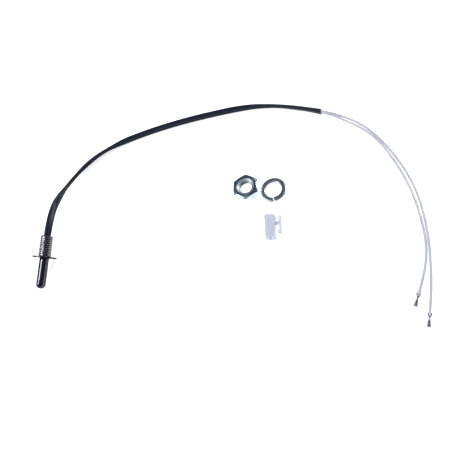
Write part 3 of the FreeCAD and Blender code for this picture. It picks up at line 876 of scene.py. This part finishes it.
nut_low, nut_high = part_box("hex_nut")
nut_middle = (nut_low + nut_high) / 2
nut_t, nut_half, nut_corner, nut_face = nut_high.z - nut_low.z, 0.0085, 0.00972, 0.008075
sink_r, nut_minor, nut_major = 0.0061, 0.00433, 0.0050
zinc_thread = surface(
    "bright_zinc_thread", (0.50, 0.56, 0.57), (0.36, 0.42, 0.44), 300.0, (0.42, 0.55), 900.0, 0.00001,
    streak=(3, 1, 1), share=0.4, Metallic=0.6,
)
zinc_blue = surface(
    "blue_zinc", (0.66, 0.76, 0.84), (0.50, 0.60, 0.70), 240.0, (0.16, 0.34), 900.0, 0.00002,
    streak=(3, 1, 1), share=0.4, Metallic=1.0,
)


def hexagon_r(turn_by):
    off = (math.degrees(turn_by) - 90) % 60 - 30
    return min(nut_half / math.cos(math.radians(off)), nut_corner)


def nut_ring(count, inset, lift, upper):
    """A ring on the hexagon, at the height where the turned-down corner meets the flat."""
    ring = []
    for k in range(count):
        turn_by = 2 * math.pi * k / count
        r = hexagon_r(turn_by)
        drop = (r - nut_face) * math.tan(math.radians(30)) - lift
        z = nut_t - drop if upper else drop
        ring.append(Vector(((r - inset) * math.cos(turn_by), (r - inset) * math.sin(turn_by), z)))
    return ring


bm = bmesh.new()
threaded(
    bm, zinc_thread, Pitch=0.0015, Length=nut_t, Crest_Radius=nut_minor, Root_Radius=nut_major,
    End_Radius=sink_r, End_Slope=1.732, Outside=-1.0, Rows=80, Columns=columns,
)
flat_rings = turned_rings([(sink_r, 0.0), (sink_r + 0.0001, 0.0), (nut_face - 0.0001, 0.0)], columns)
side_rings = [
    nut_ring(columns, 0.00006, 0.00003, False), nut_ring(columns, 0.0, -0.00006, False),
    nut_ring(columns, 0.0, -0.00006, True), nut_ring(columns, 0.00006, 0.00003, True),
]
top_rings = turned_rings([(nut_face - 0.0001, nut_t), (sink_r + 0.0001, nut_t), (sink_r, nut_t)], columns)
rows = [[bm.verts.new(p) for p in ring] for ring in flat_rings + side_rings + top_rings]
for a, b in zip(rows, rows[1:]):
    for j in range(columns):
        k = (j + 1) % columns
        bm.faces.new((a[j], a[k], b[k], b[j])).material_index = 1
nut_seat = Matrix.Translation((nut_middle.x, nut_middle.y, nut_low.z))
nut = piece("threaded_nut", bm, [zinc_thread, zinc_blue], crease=20, at=nut_seat)
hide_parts("hex_nut")
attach(nut, "hex_nut")

# ---------------------------------------------------------------- split washer
# Spring lock washer, coiled from rounded flat steel wire and sheared off, so that its ends stand apart at the split.
# It is zinc plated over hardened steel, which keeps it darker than the nut.

washer_outer, washer_inner, washer_t, washer_rise = 0.0090, 0.0058, 0.0018, 0.0013
washer_at = Vector((0.1679, 0.0358, table_z))
spring_zinc = surface(
    "spring_zinc", (0.46, 0.49, 0.54), (0.32, 0.35, 0.39), 320.0, (0.30, 0.40), 1300.0, 0.00001,
    streak=(1, 1, 5), share=0.4, Metallic=1.0,
)


def rounded_box_section(half_width, half_height, corner, steps=5):
    """Points round a rectangle with rounded corners."""
    for quarter, (sx, sy) in enumerate(((1, 1), (-1, 1), (-1, -1), (1, -1))):
        for k in range(steps + 1):
            turn_by = math.pi / 2 * (quarter + k / steps)
            yield (
                sx * (half_width - corner) + corner * math.cos(turn_by),
                sy * (half_height - corner) + corner * math.sin(turn_by),
            )


washer_steps, washer_corner, split_from, split_sweep = 160, 0.00072, -94, -354
washer_mean = (washer_outer + washer_inner) / 2
washer_rings = []
for i in range(washer_steps + 1):
    share = i / washer_steps
    turn_by = math.radians(split_from + split_sweep * share)
    outwards = Vector((math.cos(turn_by), math.sin(turn_by), 0))
    centre = washer_at + outwards * washer_mean + UP * (washer_t / 2 + washer_rise * share)
    trim = 0.00012 if i in (0, washer_steps) else 0.0
    section = rounded_box_section((washer_outer - washer_inner) / 2 - trim, washer_t / 2 - trim, washer_corner)
    washer_rings.append([centre + outwards * w + UP * h for w, h in section])
bm = bmesh.new()
skin(bm, washer_rings)
washer = piece("split_washer", bm, [spring_zinc], crease=40)
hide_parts("lock_washer")
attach(washer, "lock_washer")

# ---------------------------------------------------------------- connector housing
# Two-way housing moulded in natural nylon: two square ways one over the other, open at the collared wire end, each
# with a round mouth at the mating end. The collar stands proud on both sides and its end corners are cut back.

natural_nylon = surface(
    "natural_nylon", (0.74, 0.75, 0.87), (0.69, 0.70, 0.82), 260.0, (0.34, 0.44), 2400.0, 0.00001,
    Subsurface_Weight=0.5, Subsurface_Radius=(1.0, 1.0, 1.0), Subsurface_Scale=0.002,
)
housing_at = Vector((0.1620, -0.0009, table_z))
housing_w, housing_h, way_rise = 0.0068, 0.0066, 0.0015
housing_mid = housing_at + Vector((housing_w / 2, 0, housing_h / 2))
body_stations = [
    (0.0000, -0.00040, -0.00040), (0.00015, -0.00012, -0.00012), (0.0004, 0.0, 0.0), (0.0133, 0.0, 0.0),
    (0.0137, 0.00030, 0.0), (0.0139, 0.00035, 0.0), (0.0158, 0.00035, 0.0), (0.0161, 0.00025, -0.00002),
    (0.0166, -0.00025, -0.00012), (0.0168, -0.00045, -0.00035),
]
bm = bmesh.new()
body_rings = []
for y, wider, higher in body_stations:
    section = rounded_box_section(housing_w / 2 + wider, housing_h / 2 + higher, 0.00055)
    body_rings.append([housing_mid + Vector((w, y, h)) for w, h in section])
skin(bm, body_rings)
housing = piece("two_way_housing", bm, [natural_nylon])
cutters = []
for way in (-1, 1):
    centre = housing_mid + UP * way * way_rise
    bm = bmesh.new()
    sections = [
        (0.0012, 0.00140, 0.00112), (0.0152, 0.00140, 0.00112), (0.0162, 0.0015, 0.001225), (0.0178, 0.0019, 0.0013),
    ]
    skin(bm, [[centre + Vector((w, y, h)) for w, h in rounded_box_section(a, b, 0.00025, 3)] for y, a, b in sections])
    cutters.append(piece(f"way_{way}", bm, [natural_nylon]))
    bm = bmesh.new()
    mouth = [(-0.001, 0.0012), (0.0, 0.00105), (0.0003, 0.0008), (0.0022, 0.0008)]
    skin(
        bm,
        [
            [centre + Vector((r * math.cos(math.pi * k / 18), y, r * math.sin(math.pi * k / 18))) for k in range(36)]
            for y, r in mouth
        ],
    )
    cutters.append(piece(f"mouth_{way}", bm, [natural_nylon]))
for cutter in cutters:
    cut = housing.modifiers.new("cut", "BOOLEAN")
    cut.operation, cut.object, cut.solver = "DIFFERENCE", cutter, "EXACT"
hollowed = bpy.data.meshes.new_from_object(housing.evaluated_get(bpy.context.evaluated_depsgraph_get()))
housing.modifiers.clear()
housing.data = hollowed
for cutter in cutters:
    bpy.data.objects.remove(cutter)
hollowed.polygons.foreach_set("use_smooth", [True] * len(hollowed.polygons))
hollowed.set_sharp_from_angle(angle=math.radians(30))
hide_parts("connector_housing")
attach(housing, "connector_housing")

# ---------------------------------------------------------------- latch lever
# The latch is moulded with the housing: a rocking bar with a thumb end and a hook, on a thin web. The real web twists
# as the thumb end is pressed; here it is one fixed piece. The web narrows in the middle and flares where it joins the
# housing and the bar.

rock = next(j for j in frame["joints"] if j["name"] == "latch_rock")
pivot = Vector(rock["pos_m"])
lever_half_height = 0.0018
lever_outline = [
    (0.00175, -0.0070), (0.00175, -0.0030), (0.00175, 0.0), (0.00175, 0.0024), (0.00168, 0.0042), (0.00155, 0.0049),
    (0.00115, 0.0052), (0.00060, 0.0051), (0.00042, 0.0046), (0.00030, 0.0030), (0.0, 0.0017), (0.0, -0.0017),
    (0.00020, -0.0032), (0.00016, -0.0055), (-0.00045, -0.0059), (-0.00105, -0.0063), (-0.00098, -0.0069),
    (-0.00035, -0.0073), (0.00030, -0.0078), (0.00105, -0.0079), (0.00155, -0.0077),
]
bm = bmesh.new()
for z in (-lever_half_height, lever_half_height):
    bm.faces.new([bm.verts.new(pivot + Vector((x, y, z))) for x, y in lever_outline])
bm.verts.ensure_lookup_table()
count = len(lever_outline)
for k in range(count):
    m = (k + 1) % count
    bm.faces.new((bm.verts[k], bm.verts[m], bm.verts[count + m], bm.verts[count + k]))
lever = piece("latch_bar", bm, [natural_nylon])
rounded = lever.modifiers.new("rounded", "BEVEL")
rounded.width, rounded.segments, rounded.limit_method, rounded.angle_limit = 0.0003, 3, "ANGLE", math.radians(50)
softened = bpy.data.meshes.new_from_object(lever.evaluated_get(bpy.context.evaluated_depsgraph_get()))
lever.modifiers.clear()
lever.data = softened
softened.polygons.foreach_set("use_smooth", [True] * len(softened.polygons))
softened.set_sharp_from_angle(angle=math.radians(40))
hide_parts("latch_lever")
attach(lever, "latch_lever")

web_start = housing_at.x + housing_w - 0.0002
web_end = pivot.x + 0.0003
bm = bmesh.new()
web_rings = []
for i in range(17):
    share = i / 16
    x = web_start + (web_end - web_start) * share
    flare = (2 * share - 1) ** 4
    half_y = 0.00092 + 0.0008 * flare
    half_z = 0.00125 + 0.00015 * flare
    web_rings.append([Vector((x, pivot.y + w, pivot.z + h)) for w, h in rounded_box_section(half_y, half_z, 0.0003, 4)])
skin(bm, web_rings)
web = piece("latch_web", bm, [natural_nylon])
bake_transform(web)
